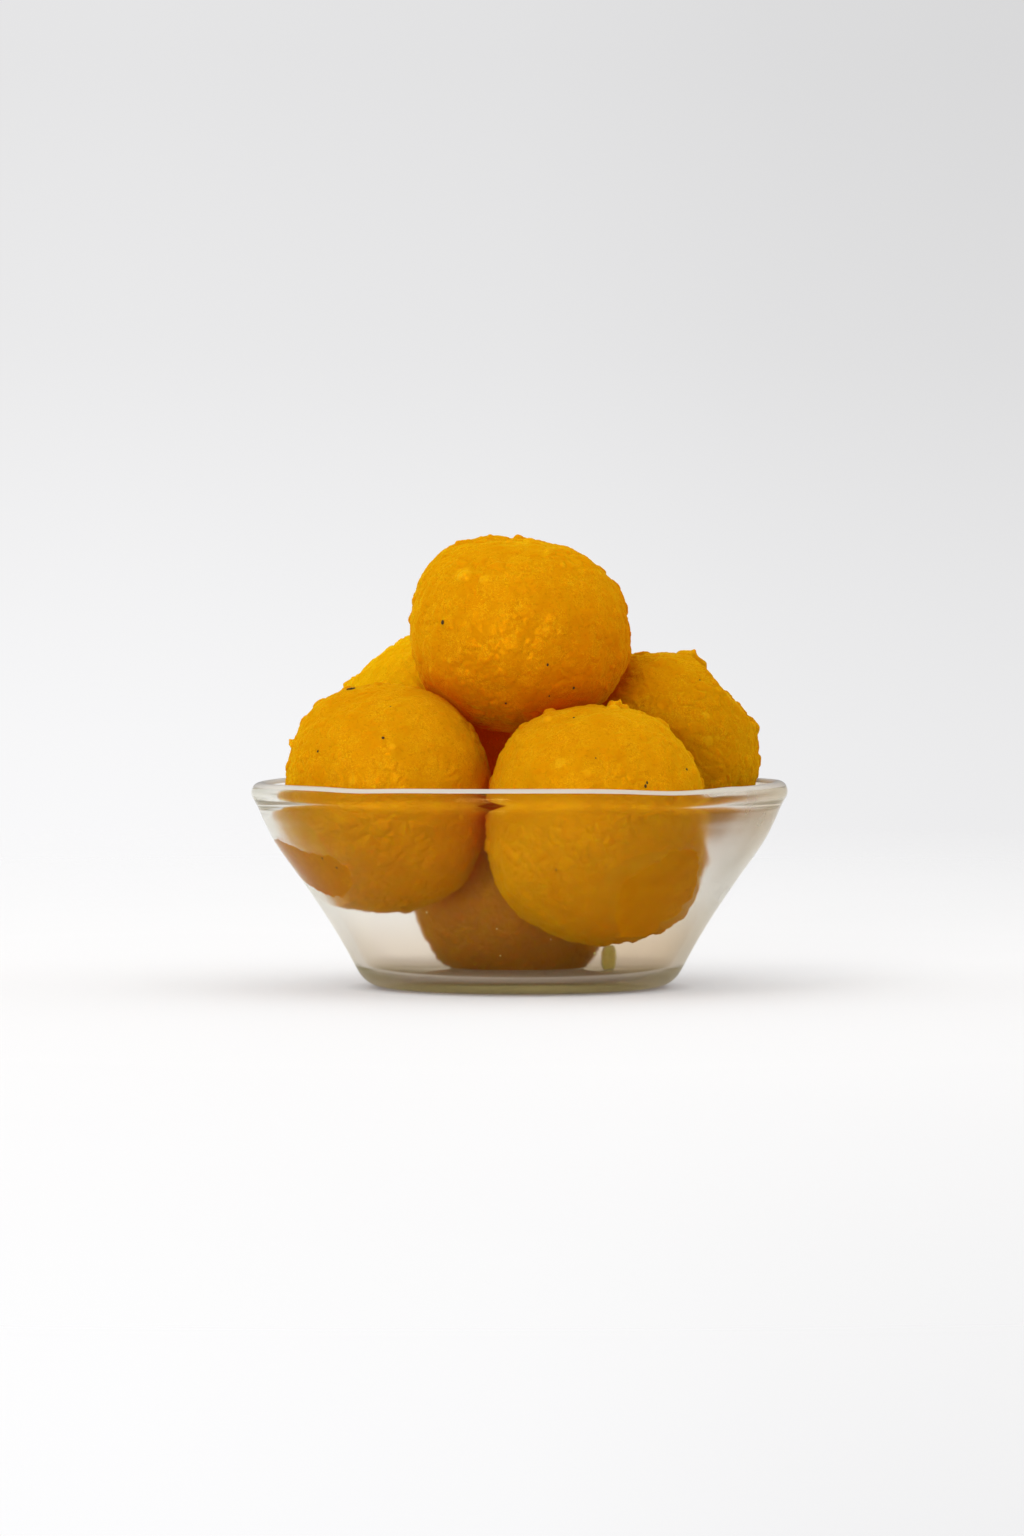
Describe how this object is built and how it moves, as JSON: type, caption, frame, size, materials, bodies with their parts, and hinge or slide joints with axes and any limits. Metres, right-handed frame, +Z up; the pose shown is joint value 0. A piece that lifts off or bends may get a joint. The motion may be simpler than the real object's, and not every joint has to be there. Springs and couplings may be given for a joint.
{
  "type": "ladoos in a glass bowl",
  "caption": "Round orange-yellow ladoos heaped in a small flared clear glass bowl with a rounded rim and a flat foot.",
  "frame": {"origin": "centre of the bowl's foot, on the surface that it stands on", "axes": "+Z up along the bowl's axis; -Y is the front, where two ladoos lie side by side against the wall; +X is to the right seen from the front"},
  "size_m": [0.1098, 0.1098, 0.092],
  "materials": {
    "clear_glass": "clear pressed glass, smooth and glossy, very slightly grey-green where it is thick",
    "ladoo": "soft pressed sweet, orange-yellow, finely grained, with a faint syrupy sheen"
  },
  "bodies": {
    "root": {"bowl": "clear_glass", "ladoo_top": "ladoo", "ladoo_front_left": "ladoo", "ladoo_front_right": "ladoo", "ladoo_back_right": "ladoo", "ladoo_back_left": "ladoo", "ladoo_bottom": "ladoo"}
  },
  "joints": []
}
